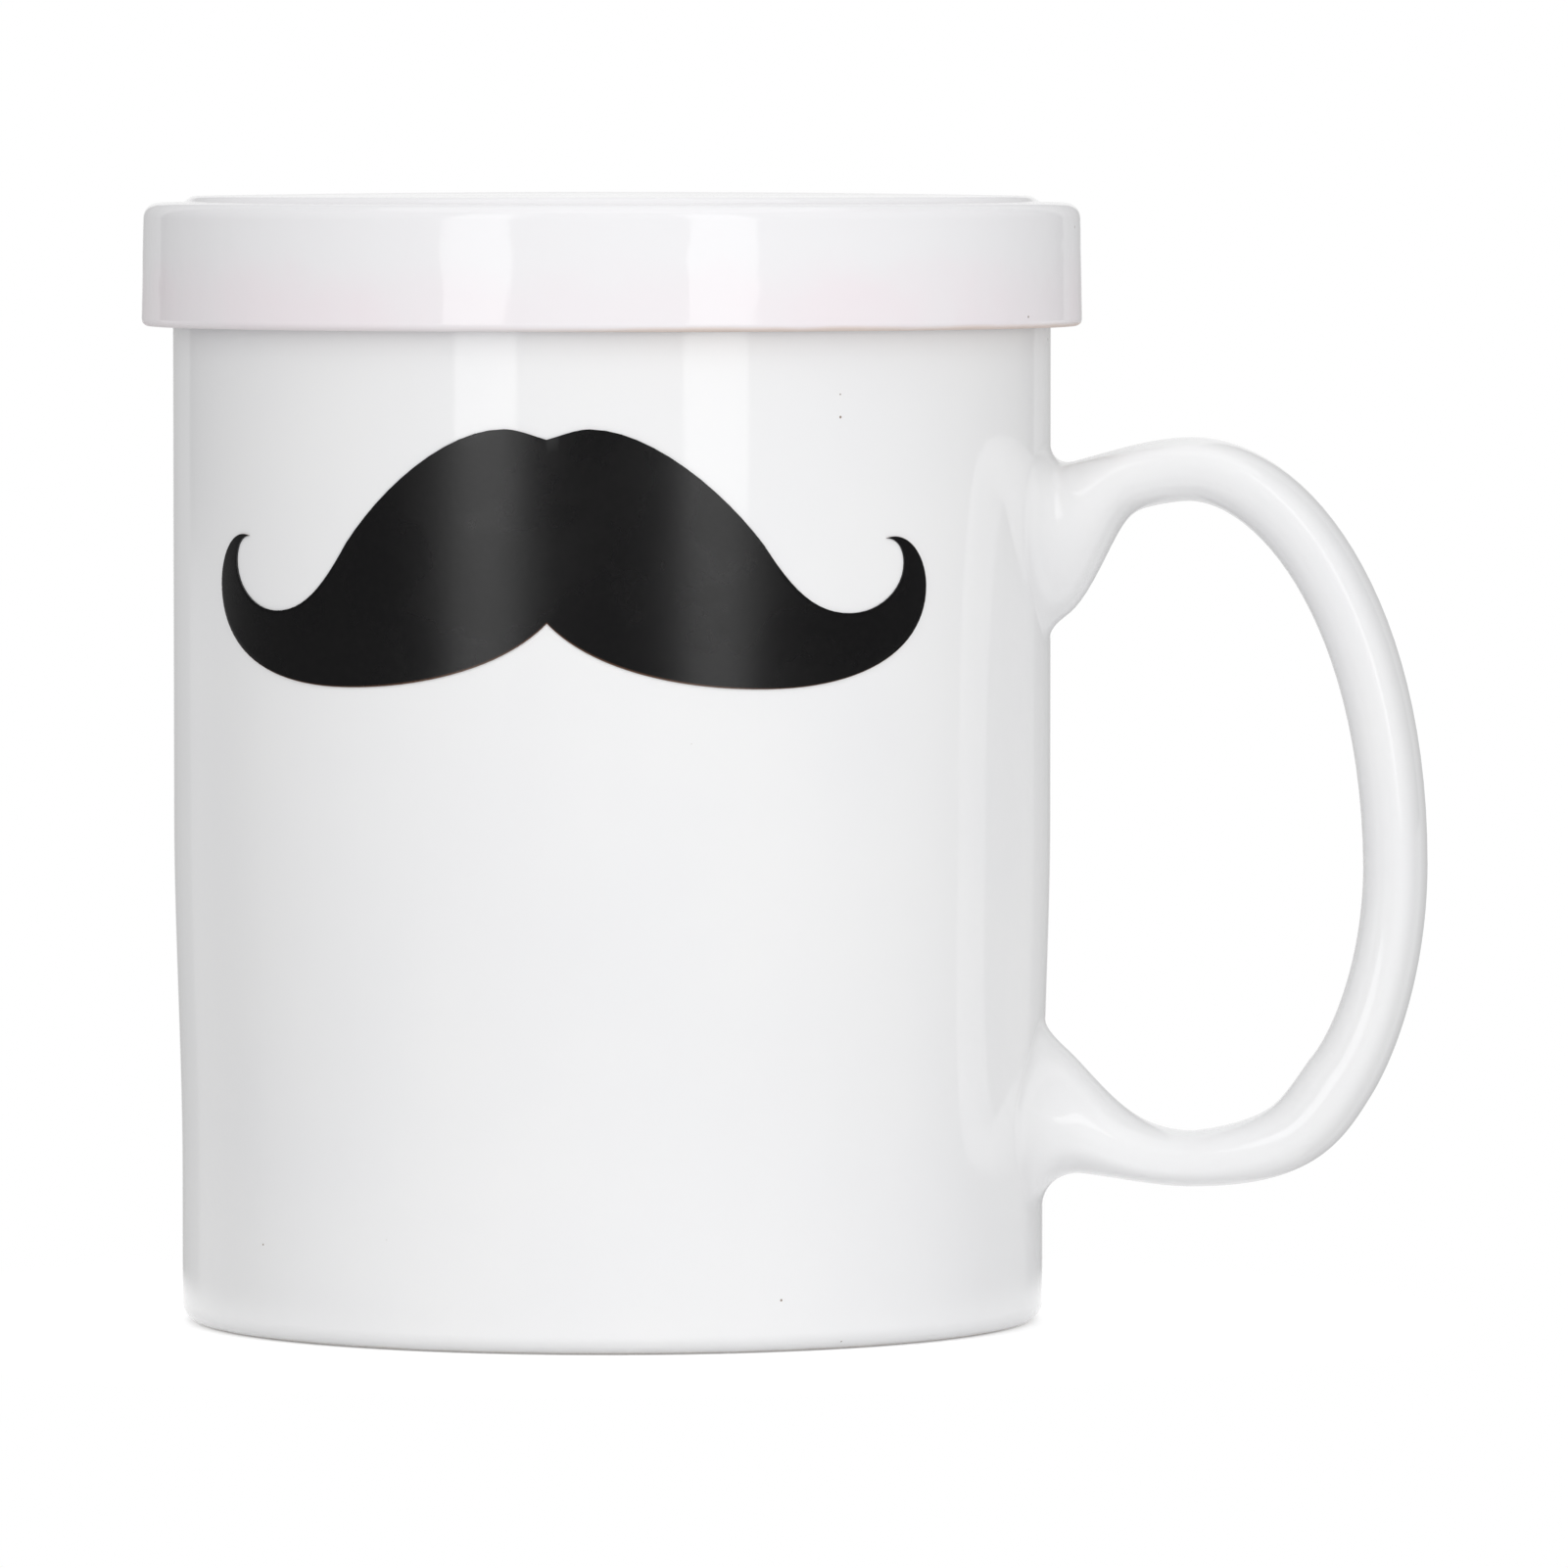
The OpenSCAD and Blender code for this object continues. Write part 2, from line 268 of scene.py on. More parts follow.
def make_cup():
    draw_heights = [DRAW_LOW_Z + (DRAW_HIGH_Z - DRAW_LOW_Z) * i / DRAW_STEPS for i in range(DRAW_STEPS + 1)]
    outer_wall = [(wall_r(z), z) for z in draw_heights]
    inner_wall = [(r - WALL_T, z) for r, z in reversed(outer_wall) if z > FLOOR_Z + INSIDE_ROUND + NEAR]
    recess_top, recess_edge = (RING_R, FOOT_RECESS), (RING_R, 0)
    foot_edge = (BASE_R, 0)
    rim_outer, rim_inner = (CUP_R, CUP_H), (CUP_R - WALL_T, CUP_H)
    floor_corner = (BASE_R - WALL_T, FLOOR_Z)
    profile = [
        (AXIS_RING, FOOT_RECESS), recess_top, recess_edge, foot_edge, *outer_wall,
        rim_outer, rim_inner, *inner_wall, floor_corner, (AXIS_RING, FLOOR_Z),
    ]
    rounds = [
        (recess_top, RECESS_ROUND), (recess_edge, RECESS_ROUND), (foot_edge, FOOT_ROUND),
        (rim_outer, RIM_ROUND), (rim_inner, RIM_ROUND), (floor_corner, INSIDE_ROUND),
    ]
    return turn_on_wheel("glazed_cup", profile, rounds)


def make_lid():
    steps = range(1, ROUND_STEPS + 1)
    crown_h = LID_TOP_Z - PANEL_Z
    crown = [
        (PANEL_R * i / ROUND_STEPS, PANEL_Z + crown_h * (1 - (i / ROUND_STEPS) ** 2)) for i in steps
    ]
    slope = [
        (PANEL_R + PANEL_SLOPE * i / ROUND_STEPS, PANEL_Z - PANEL_H * smooth_step(i / ROUND_STEPS))
        for i in steps
    ]
    top_edge = (LID_TOP_R, LID_EDGE_Z)
    lip_outer, lip_inner = (LID_LOW_R, LID_LOW_Z), (LID_BORE_R, LID_LOW_Z)
    under_corner = (LID_BORE_R, LID_UNDER_Z)
    profile = [
        (AXIS_RING, LID_TOP_Z), *crown, *slope, top_edge, lip_outer, lip_inner, under_corner,
        (AXIS_RING, LID_UNDER_Z),
    ]
    rounds = [
        (top_edge, LID_ROUND), (lip_outer, LIP_ROUND), (lip_inner, LIP_ROUND),
        (under_corner, LID_INSIDE_ROUND),
    ]
    return turn_on_wheel("cap_lid", profile, rounds)


# Handle

def bezier(points, t):
    weights = ((1 - t) ** 3, 3 * t * (1 - t) ** 2, 3 * t * t * (1 - t), t ** 3)
    return [sum(w * p[axis] for w, p in zip(weights, points)) for axis in (0, 1)]


def bezier_slope(points, t):
    weights = ((1 - t) ** 2, 2 * t * (1 - t), t * t)
    legs = [(b[0] - a[0], b[1] - a[1]) for a, b in zip(points, points[1:])]
    return [3 * sum(w * leg[axis] for w, leg in zip(weights, legs)) for axis in (0, 1)]


def through(values, t):
    """The value at t of the curve through a start, a middle and an end."""
    start, middle, end = values
    return start * (1 - t) * (1 - 2 * t) + middle * 4 * t * (1 - t) + end * t * (2 * t - 1)


def spread(distance, length, fullness):
    """What is left of the spread of a root at a distance from the wall."""
    return math.exp(-(distance / length) ** fullness)


def squared(value, power):
    return math.copysign(abs(value) ** power, value)


def fillet(distance, radius):
    """How far a fillet on the wall stands out at a distance from the wall."""
    share = max(1 - distance / radius, 0)
    return radius * (1 - math.sqrt(1 - share * share))


def section_points(curve, t, turns, sink):
    """Points around the handle at t along one curve of its outline. Each turn is an angle, 0 on the
    outer side. Near the wall the section stands upright, spreads and wraps around the cup."""
    share = bezier(OUTLINE_SHARES[curve], t)
    slope = bezier_slope(OUTLINE_SHARES[curve], t)
    run = Vector((slope[0] * HANDLE_REACH, slope[1] * HANDLE_H)).normalized()
    upper = curve < LAST_CURVE / 2
    distance = share[0] * HANDLE_REACH
    if upper:
        root_h, root_flank, rounds = UPPER_ROOT_H, UPPER_ROOT_FLANK, UPPER_ROUNDS
        root = spread(distance, UPPER_ROOT_LEN, UPPER_ROOT_FULLNESS)
    else:
        root_h, root_flank, rounds = LOWER_ROOT_H, LOWER_ROOT_FLANK, LOWER_ROUNDS
        root = spread(distance, LOWER_ROOT_LEN, LOWER_ROOT_FULLNESS)
    upright = math.sqrt(root)
    along_wall = Vector((0, -1 if upper else 1))
    inward = (Vector((run.y, -run.x)) * (1 - upright) + along_wall * upright).normalized()
    grip_t = HANDLE_T * through(GRIP_SHARES[curve], t)
    thick = grip_t + (root_h - grip_t) * root
    outer_grow, inner_grow, flank_grow = [fillet(distance, radius) for radius in rounds]
    egg = GRIP_EGG_SHARE + (ROOT_EGG_SHARE - GRIP_EGG_SHARE) * root
    flank = GRIP_SQUARE + (root_flank - GRIP_SQUARE) * root
    spots = [(squared(math.cos(a), 1 - flank), squared(math.sin(a), 1 - GRIP_SQUARE)) for a in turns]
    peak = max(across * (1 + egg * along) for along, across in spots)
    outer = Vector((CUP_R + distance, HANDLE_LOW_Z + share[1] * HANDLE_H))
    points = []
    for along, across in spots:
        grow = outer_grow if along > 0 else inner_grow
        p = outer + inward * (thick / 2 - (thick / 2 + grow) * along)
        y = (HANDLE_W / 2 + flank_grow) * across * (1 + egg * along) / peak
        x = p.x - (CUP_R - wall_r(p.y)) * root
        x += (math.sqrt(x * x - y * y) - x) * root
        points.append(Vector((x - sink, y, p.y)))
    return points


def handle_stations():
    """The sections of the upper slip, the handle and the lower slip, as (curve, t, sink). The ends are
    sunk in the wall, and the sections lie closer where the fillets run out on it."""
    slip_t = SLIP_REACH / (CREST_SHARE * HANDLE_REACH)
    run_out = [slip_t * (1 - math.cos(math.pi / 2 * i / ROUND_STEPS)) for i in range(ROUND_STEPS)]
    upper_slip = [(0, 0, ROOT_SINK)] + [(0, t, 0) for t in run_out]
    lower_slip = [(LAST_CURVE, 1 - t, 0) for t in reversed(run_out)] + [(LAST_CURVE, 1, ROOT_SINK)]
    loop = []
    for curve in range(LAST_CURVE + 1):
        first = slip_t if curve == 0 else 0
        last = 1 - slip_t if curve == LAST_CURVE else 1
        steps = CURVE_STEPS + (1 if curve == LAST_CURVE else 0)
        loop += [(curve, first + (last - first) * i / CURVE_STEPS, 0) for i in range(steps)]
    return upper_slip, loop, lower_slip


def lay_ring(piece, points, number):
    """Lays the selected ring on the points of a section and notes the number of that section."""
    mesh = bmesh.from_edit_mesh(piece.data)
    around, along = mesh.verts.layers.int["around"], mesh.verts.layers.int["along"]
    for v in mesh.verts:
        if v.select:
            v.co = points[v[around]]
            v[along] = number
    bmesh.update_edit_mesh(piece.data)


def make_handle_skin(stations):
    """One closed skin over the handle and both fillets of slip."""
    skin = start_ring("handle_skin", HANDLE_W, 0, SECTION_SIDES)
    mesh = bmesh.from_edit_mesh(skin.data)
    around = mesh.verts.layers.int.new("around")
    mesh.verts.layers.int.new("along")
    mesh.verts.ensure_lookup_table()
    for i, v in enumerate(mesh.verts):
        v[around] = i
    bmesh.update_edit_mesh(skin.data)
    turns = [2 * math.pi * i / SECTION_SIDES for i in range(SECTION_SIDES)]
    bpy.ops.mesh.edge_face_add()
    for number, (curve, t, sink) in enumerate(stations):
        if number > 0:
            bpy.ops.mesh.extrude_region_move()
        lay_ring(skin, section_points(curve, t, turns, sink), number)
    bpy.ops.mesh.select_all(action="SELECT")
    bpy.ops.mesh.normals_make_consistent(inside=False)
    bpy.ops.object.mode_set(mode="OBJECT")
    bpy.ops.object.shade_smooth_by_angle(angle=SMOOTH_ANGLE)
    return skin


def part_off(skin, name, first, last):
    """A copy of the skin between two sections, closed at its ends, that shades as the whole skin does."""
    make_active(skin)
    bpy.ops.object.duplicate()
    piece = bpy.context.object
    piece.name = name
    piece.data.name = name
    bpy.ops.object.mode_set(mode="EDIT")
    bpy.ops.mesh.select_mode(type="VERT")
    bpy.ops.mesh.select_all(action="DESELECT")
    mesh = bmesh.from_edit_mesh(piece.data)
    along = mesh.verts.layers.int["along"]
    for v in mesh.verts:
        v.select_set(not first <= v[along] <= last)
    bmesh.update_edit_mesh(piece.data)
    bpy.ops.mesh.delete(type="VERT")
    bpy.ops.mesh.select_mode(type="EDGE")
    bpy.ops.mesh.select_all(action="DESELECT")
    bpy.ops.mesh.select_non_manifold()
    bpy.ops.mesh.edge_face_add()
    bpy.ops.object.mode_set(mode="OBJECT")
    apply_modifier(
        piece, "DATA_TRANSFER", object=skin, use_loop_data=True,
        data_types_loops={"CUSTOM_NORMAL"}, loop_mapping="NEAREST_POLYNOR",
    )
    return piece


def blend_on_wall(piece, cup):
    """Shades a fillet as the wall is shaded where the two meet."""
    apply_modifier(
        piece, "DATA_TRANSFER", object=cup, use_loop_data=True,
        data_types_loops={"CUSTOM_NORMAL"}, loop_mapping="POLYINTERP_NEAREST",
        use_max_distance=True, max_distance=NEAR,
    )


# Mustache

def edge_point(stretches, share):
    """A point of one edge of the mustache, at a share of the way from the middle notch to the tip."""
    along = share * len(stretches)
    stretch = stretches[min(int(along), len(stretches) - 1)]
    along = (along - min(int(along), len(stretches) - 1)) * len(stretch)
    curve = min(int(along), len(stretch) - 1)
    u, v = bezier(stretch[curve], along - curve)
    return Vector((u * MUSTACHE_HALF_W, MUSTACHE_LOW_Z + v * MUSTACHE_H))


def make_mustache():
    """A grid that is laid between the two edges of one half, mirrored, wrapped on the wall and thickened.
    The grid is 1 wide and centred, so that its points give shares along and across the half."""
    deselect_everything()
    bpy.ops.mesh.primitive_grid_add(x_subdivisions=PRINT_STEPS, y_subdivisions=CROSS_STEPS, size=1)
    piece = bpy.context.object
    piece.name = "mustache_print"
    piece.data.name = piece.name
    across_shares = piece.data.attributes.new("across", "FLOAT", "POINT").data
    for v in piece.data.vertices:
        along, across = v.co.x + 0.5, v.co.y + 0.5
        across_shares[v.index].value = across
        upper, lower = edge_point(UPPER_EDGE_SHARES, along), edge_point(LOWER_EDGE_SHARES, along)
        flat = lower.lerp(upper, across)
        v.co = (flat.x, 0, flat.y)
    bpy.ops.object.mode_set(mode="EDIT")
    bpy.ops.mesh.select_all(action="SELECT")
    bpy.ops.mesh.remove_doubles(threshold=NEAR)
    bpy.ops.object.mode_set(mode="OBJECT")
    apply_modifier(piece, "MIRROR", use_mirror_merge=True, merge_threshold=NEAR)
    inner_r = CUP_R - PRINT_SINK
    for v in piece.data.vertices:
        angle = v.co.x / CUP_R
        v.co = (inner_r * math.sin(angle), -inner_r * math.cos(angle), v.co.z)
    bpy.ops.object.mode_set(mode="EDIT")
    bpy.ops.mesh.select_all(action="SELECT")
    bpy.ops.mesh.normals_make_consistent(inside=False)
    bpy.ops.object.mode_set(mode="OBJECT")
    apply_modifier(piece, "SOLIDIFY", thickness=TRANSFER_T + PRINT_SINK, offset=1)
    apply_modifier(
        piece, "BEVEL", width=PRINT_ROUND, segments=EDGE_STEPS, limit_method="ANGLE", angle_limit=EDGE_ANGLE
    )
    make_active(piece)
    bpy.ops.object.shade_smooth_by_angle(angle=SMOOTH_ANGLE)
    apply_modifier(piece, "WEIGHTED_NORMAL", keep_sharp=True, weight=FACE_WEIGHT)
    return piece


# Node groups that the finishes share

class Nodes:
    """Short ways to add and link the nodes of one tree."""

    def __init__(self, tree):
        self.tree = tree

    def add(self, kind, inputs=None, **settings):
        node = self.tree.nodes.new("ShaderNode" + kind)
        for key, value in settings.items():
            setattr(node, key, value)
        for key, value in (inputs or {}).items():
            self.feed(node.inputs[key], value)
        return node

    def feed(self, socket, value):
        if isinstance(value, bpy.types.NodeSocket):
            self.tree.links.new(value, socket)
        else:
            socket.default_value = value

    def math(self, operation, first, second):
        return self.add("Math", {0: first, 1: second}, operation=operation).outputs[0]

    def ramp(self, value, low, high, low_out=0.0, high_out=1.0):
        node = self.add(
            "MapRange",
            {"Value": value, "From Min": low, "From Max": high, "To Min": low_out, "To Max": high_out},
            interpolation_type="SMOOTHSTEP",
        )
        return node.outputs["Result"]

    def mix(self, factor, first, second):
        node = self.add("Mix", data_type="RGBA")
        self.feed(node.inputs["Factor"], factor)
        self.feed(node.inputs[6], first)
        self.feed(node.inputs[7], second)
        return node.outputs[2]

    def group(self, group, inputs):
        node = self.tree.nodes.new("ShaderNodeGroup")
        node.node_tree = group
        for key, value in inputs.items():
            self.feed(node.inputs[key], value)
        return node.outputs


def new_group(name, inputs, outputs):
    """An empty shader node group. Inputs are (name, kind, value) and outputs are (name, kind)."""
    group = bpy.data.node_groups.new(name, "ShaderNodeTree")
    for label, kind, value in inputs:
        socket = group.interface.new_socket(label, in_out="INPUT", socket_type=kind)
        socket.default_value = value
    for label, kind in outputs:
        group.interface.new_socket(label, in_out="OUTPUT", socket_type=kind)
    return group, Nodes(group)


def group_ends(group):
    start = group.nodes.new("NodeGroupInput")
    end = group.nodes.new("NodeGroupOutput")
    return start.outputs, end.inputs


def make_cloud_group():
    """Soft clouds in a glaze, as a mask from 0 to 1."""
    group, nodes = new_group(
        "glaze_clouds",
        [("Position", "NodeSocketVector", (0, 0, 0)), ("Scale", "NodeSocketFloat", 60.0)],
        [("Mask", "NodeSocketFloat")],
    )
    given, out = group_ends(group)
    noise = nodes.add(
        "TexNoise",
        {"Vector": given["Position"], "Scale": given["Scale"], "Detail": 3.0, "Roughness": 0.55},
    )
    nodes.feed(out["Mask"], nodes.ramp(noise.outputs["Fac"], 0.3, 0.7))
    return group


def make_speck_group():
    """Sparse small specks that firing leaves in a glaze."""
    group, nodes = new_group(
        "kiln_specks",
        [("Position", "NodeSocketVector", (0, 0, 0)), ("Scale", "NodeSocketFloat", 60.0),
         ("Size", "NodeSocketFloat", 0.02), ("Share", "NodeSocketFloat", 0.05)],
        [("Mask", "NodeSocketFloat")],
    )
    given, out = group_ends(group)
    cells = nodes.add("TexVoronoi", {"Vector": given["Position"], "Scale": given["Scale"]})
    near = nodes.math("LESS_THAN", cells.outputs["Distance"], given["Size"])
    chance = nodes.add("SeparateColor", {"Color": cells.outputs["Color"]}).outputs["Red"]
    chosen = nodes.math("LESS_THAN", chance, given["Share"])
    nodes.feed(out["Mask"], nodes.math("MULTIPLY", near, chosen))
    return group


def make_ripple_group():
    """The uneven skin of a poured glaze, as a height: long waves and a fine orange peel."""
    group, nodes = new_group(
        "glaze_ripple",
        [("Position", "NodeSocketVector", (0, 0, 0)), ("Wave Scale", "NodeSocketFloat", 45.0),
         ("Peel Scale", "NodeSocketFloat", 900.0), ("Peel", "NodeSocketFloat", 0.02)],
        [("Height", "NodeSocketFloat")],
    )
    given, out = group_ends(group)
    wave = nodes.add(
        "TexNoise", {"Vector": given["Position"], "Scale": given["Wave Scale"], "Detail": 1.5}
    )
    peel = nodes.add(
        "TexNoise", {"Vector": given["Position"], "Scale": given["Peel Scale"], "Detail": 1.0}
    )
    fine = nodes.math("MULTIPLY", peel.outputs["Fac"], given["Peel"])
    nodes.feed(out["Height"], nodes.math("ADD", wave.outputs["Fac"], fine))
    return group


def make_bare_group():
    """Where a level edge is bare of glaze: full below a height, with a wavering border."""
    group, nodes = new_group(
        "bare_edge",
        [("Position", "NodeSocketVector", (0, 0, 0)), ("Height", "NodeSocketFloat", 0.0),
         ("Border", "NodeSocketFloat", 0.0003), ("Waver", "NodeSocketFloat", 0.0003)],
        [("Mask", "NodeSocketFloat")],
    )
    given, out = group_ends(group)
    noise = nodes.add("TexNoise", {"Vector": given["Position"], "Scale": 180.0, "Detail": 2.0})
    drift = nodes.math("MULTIPLY", nodes.math("SUBTRACT", noise.outputs["Fac"], 0.5), given["Waver"])
    z = nodes.add("SeparateXYZ", {"Vector": given["Position"]}).outputs["Z"]
    above = nodes.math("SUBTRACT", nodes.math("ADD", z, drift), given["Height"])
    share = nodes.math("DIVIDE", above, given["Border"])
    nodes.feed(out["Mask"], nodes.ramp(share, 0.0, 1.0, 1.0, 0.0))
    return group


CLOUDS = make_cloud_group()
SPECKS = make_speck_group()
RIPPLE = make_ripple_group()
BARE = make_bare_group()


# Finishes

def new_finish(name):
    material = bpy.data.materials.new(name)
    material.use_nodes = True
    nodes = Nodes(material.node_tree)
    shader = material.node_tree.nodes["Principled BSDF"]
    position = nodes.add("TexCoord").outputs["Object"]
    return material, nodes, shader, position


def add_bump(nodes, shader, height, distance):
    bump = nodes.add("Bump", {"Height": height, "Distance": distance, "Strength": 1.0})
    nodes.feed(shader.inputs["Normal"], bump.outputs["Normal"])


GLAZE_WHITE = (0.862, 0.862, 0.866, 1)
GLAZE_SHADE = (0.845, 0.846, 0.856, 1)
LID_WHITE = (0.858, 0.852, 0.868, 1)
LID_PINK = (0.868, 0.806, 0.838, 1)
BARE_CLAY = (0.84, 0.815, 0.785, 1)
LIP_BROWN = (0.74, 0.62, 0.56, 1)
SPECK_BROWN = (0.3, 0.24, 0.2, 1)
PRINT_BLACK = (0.004, 0.0038, 0.0043, 1)
PRINT_GREY = (0.0058, 0.0054, 0.0058, 1)
PRINT_BROWN = (0.12, 0.06, 0.035, 1)
# Share of the print's height that is brown at its lower edge
BROWN_EDGE = 0.012
# From where to where the stain on the lid's lip grows, counted towards the handle
STAINED_SIDE = (-8 * MM, 12 * MM)
# How strong the stain is at both ends of that, and the blush between clouds and in them
STAIN_SHARES = (0.1, 0.9)
BLUSH_SHARES = (0.45, 1.0)
BARE_H = 0.15 * MM
BLUSH_H = 2.5 * MM
STAIN_H = 0.1 * MM
SPECK_SCALE = 400.0
SPECK_SIZE = 0.06
GRAIN_RANGE = (0.35, 0.75)
# Roughness between clouds and in them
CUP_ROUGHNESS = (0.05, 0.075)
LID_ROUGHNESS = (0.05, 0.08)
PRINT_ROUGHNESS = (0.25, 0.3)
BARE_ROUGHNESS = 0.7
STAIN_ROUGHNESS = 0.6
CUP_RIPPLE_H = 0.12 * MM
LID_RIPPLE_H = 0.035 * MM
GRAIN_H = 0.003 * MM
GLAZE_IOR = 1.42
PRINT_IOR = 1.7


def make_cup_glaze():
    material, nodes, shader, position = new_finish("cup_glaze")
    clouds = nodes.group(CLOUDS, {"Position": position, "Scale": 40.0})["Mask"]
    specks = nodes.group(
        SPECKS, {"Position": position, "Scale": SPECK_SCALE, "Size": SPECK_SIZE, "Share": 0.03}
    )["Mask"]
    bare = nodes.group(
        BARE, {"Position": position, "Height": BARE_H, "Border": 0.2 * MM, "Waver": 0.3 * MM}
    )["Mask"]
    ripple = nodes.group(
        RIPPLE, {"Position": position, "Wave Scale": 40.0, "Peel Scale": 1400.0, "Peel": 0.012}
    )["Height"]
    colour = nodes.mix(clouds, GLAZE_WHITE, GLAZE_SHADE)
    colour = nodes.mix(specks, colour, SPECK_BROWN)
    colour = nodes.mix(bare, colour, BARE_CLAY)
    nodes.feed(shader.inputs["Base Color"], colour)
    gloss = nodes.ramp(clouds, 0.0, 1.0, *CUP_ROUGHNESS)
    rough = nodes.math("MULTIPLY", bare, BARE_ROUGHNESS)
    nodes.feed(shader.inputs["Roughness"], nodes.math("MAXIMUM", gloss, rough))
    shader.inputs["IOR"].default_value = GLAZE_IOR
    add_bump(nodes, shader, ripple, CUP_RIPPLE_H)
    return material


def make_lid_glaze():
    material, nodes, shader, position = new_finish("lid_glaze")
    clouds = nodes.group(CLOUDS, {"Position": position, "Scale": 55.0})["Mask"]
    specks = nodes.group(
        SPECKS, {"Position": position, "Scale": SPECK_SCALE, "Size": SPECK_SIZE, "Share": 0.06}
    )["Mask"]
    blush = nodes.group(
        BARE,
        {"Position": position, "Height": LID_LOW_Z + BLUSH_H, "Border": 5 * MM, "Waver": 4 * MM},
    )["Mask"]
    lip = nodes.group(
        BARE,
        {"Position": position, "Height": LID_LOW_Z + STAIN_H, "Border": 0.45 * MM, "Waver": 0.4 * MM},
    )["Mask"]
    ripple = nodes.group(
        RIPPLE, {"Position": position, "Wave Scale": 380.0, "Peel Scale": 1500.0, "Peel": 0.05}
    )["Height"]
    blotch = nodes.math("MULTIPLY", blush, nodes.ramp(clouds, 0.0, 1.0, *BLUSH_SHARES))
    colour = nodes.mix(blotch, LID_WHITE, LID_PINK)
    colour = nodes.mix(specks, colour, SPECK_BROWN)
    side = nodes.add("SeparateXYZ", {"Vector": position}).outputs["X"]
    stain = nodes.math("MULTIPLY", lip, nodes.ramp(side, *STAINED_SIDE, *STAIN_SHARES))
    colour = nodes.mix(stain, colour, LIP_BROWN)
    nodes.feed(shader.inputs["Base Color"], colour)
    gloss = nodes.ramp(clouds, 0.0, 1.0, *LID_ROUGHNESS)
    rough = nodes.math("MULTIPLY", lip, STAIN_ROUGHNESS)
    nodes.feed(shader.inputs["Roughness"], nodes.math("MAXIMUM", gloss, rough))
    shader.inputs["IOR"].default_value = GLAZE_IOR
    add_bump(nodes, shader, ripple, LID_RIPPLE_H)
    return material


def make_black_transfer():
    material, nodes, shader, position = new_finish("black_transfer")
    grain = nodes.add("TexNoise", {"Vector": position, "Scale": 2000.0, "Detail": 2.0}).outputs["Fac"]
    clouds = nodes.group(CLOUDS, {"Position": position, "Scale": 120.0})["Mask"]
    across = nodes.add("Attribute", attribute_name="across").outputs["Fac"]
    colour = nodes.mix(nodes.ramp(grain, *GRAIN_RANGE), PRINT_BLACK, PRINT_GREY)
    colour = nodes.mix(nodes.ramp(across, 0.0, BROWN_EDGE, 1.0, 0.0), colour, PRINT_BROWN)
    nodes.feed(shader.inputs["Base Color"], colour)
    nodes.feed(shader.inputs["Roughness"], nodes.ramp(clouds, 0.0, 1.0, *PRINT_ROUGHNESS))
    shader.inputs["IOR"].default_value = PRINT_IOR
    add_bump(nodes, shader, grain, GRAIN_H)
    return material


# The pieces on their bodies

def place(piece, body, slot, finish, *nodes):
    piece.data.materials.clear()
    piece.data.materials.append(finish)
    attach(piece, body)
    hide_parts(*nodes)


cup_glaze = make_cup_glaze()
lid_glaze = make_lid_glaze()
black_transfer = make_black_transfer()

cup = make_cup()
lid = make_lid()
upper_stations, loop_stations, lower_stations = handle_stations()
handle_skin = make_handle_skin(upper_stations + loop_stations + lower_stations)
upper_end = len(upper_stations)
lower_start = upper_end + len(loop_stations) - 1
last_station = lower_start + len(lower_stations)
upper_slip = part_off(handle_skin, "upper_slip_fillet", 0, upper_end)
handle = part_off(handle_skin, "handle_loop", upper_end, lower_start)
lower_slip = part_off(handle_skin, "lower_slip_fillet", lower_start, last_station)
bpy.data.objects.remove(handle_skin)
blend_on_wall(upper_slip, cup)
blend_on_wall(lower_slip, cup)
mustache = make_mustache()

place(cup, "cup", "cup_glaze", cup_glaze, "cup")
place(handle, "cup", "cup_glaze", cup_glaze, "handle")
place(upper_slip, "cup", "cup_glaze", cup_glaze, "upper_joint_slip")
place(lower_slip, "cup", "cup_glaze", cup_glaze, "lower_joint_slip")
place(mustache, "cup", "black_transfer", black_transfer, "mustache_transfer")
place(lid, "lid", "lid_glaze", lid_glaze, "lid")


# Studio: floor, walls that only reflections see, lamps, world and camera

CAMERA_DISTANCE = 1.25
CAMERA_HEIGHT = 0.10826
CAMERA_AZIMUTH = math.radians(8.3)
CAMERA_PITCH = math.radians(2.72)
CAMERA_YAW = math.radians(0.718)
CAMERA_LENS = 314.8
SENSOR_W = 36
WHITE = (1, 1, 1, 1)
STAGE_SIDES = 96
FLOOR_R = 0.09
# From where to where the floor fades out
FLOOR_FADE = (0.046, 0.08)
FLOOR_GAP = 0.02 * MM
FLOOR_GREY = (0.84, 0.84, 0.84, 1)
FLOOR_GLOW = 0.41
AMBIENT = 0.65
WALL_R = 2.4
WALL_H = 8.0
# Places around the walls are cosines, 1 straight behind the cup and -1 behind the camera. A bright sheet
# hangs behind the cup. The sides get darker towards the camera, and are darker above the table's edge.
SHEET_EDGE = (0.814, 0.826)
SHEET_MIDDLE = (0.982, 0.992)
SHEET_GREYS = (0.5, 0.92)
SIDES_TURN = (0.35, 0.8)
SIDES_SHARES = (0.16, 1.0)
TABLE_EDGE = (-0.015, 0.015)
TABLE_GREYS = (0.65, 0.2)
STRIP_SIZE = (0.29, 1.2)
STRIP_DISTANCE = 1.0
STRIP_Z = 0.638


def around_cup(azimuth, distance, height):
    """A point at an azimuth from the front, counted towards the handle."""
    return Vector((distance * math.sin(azimuth), -distance * math.cos(azimuth), height))


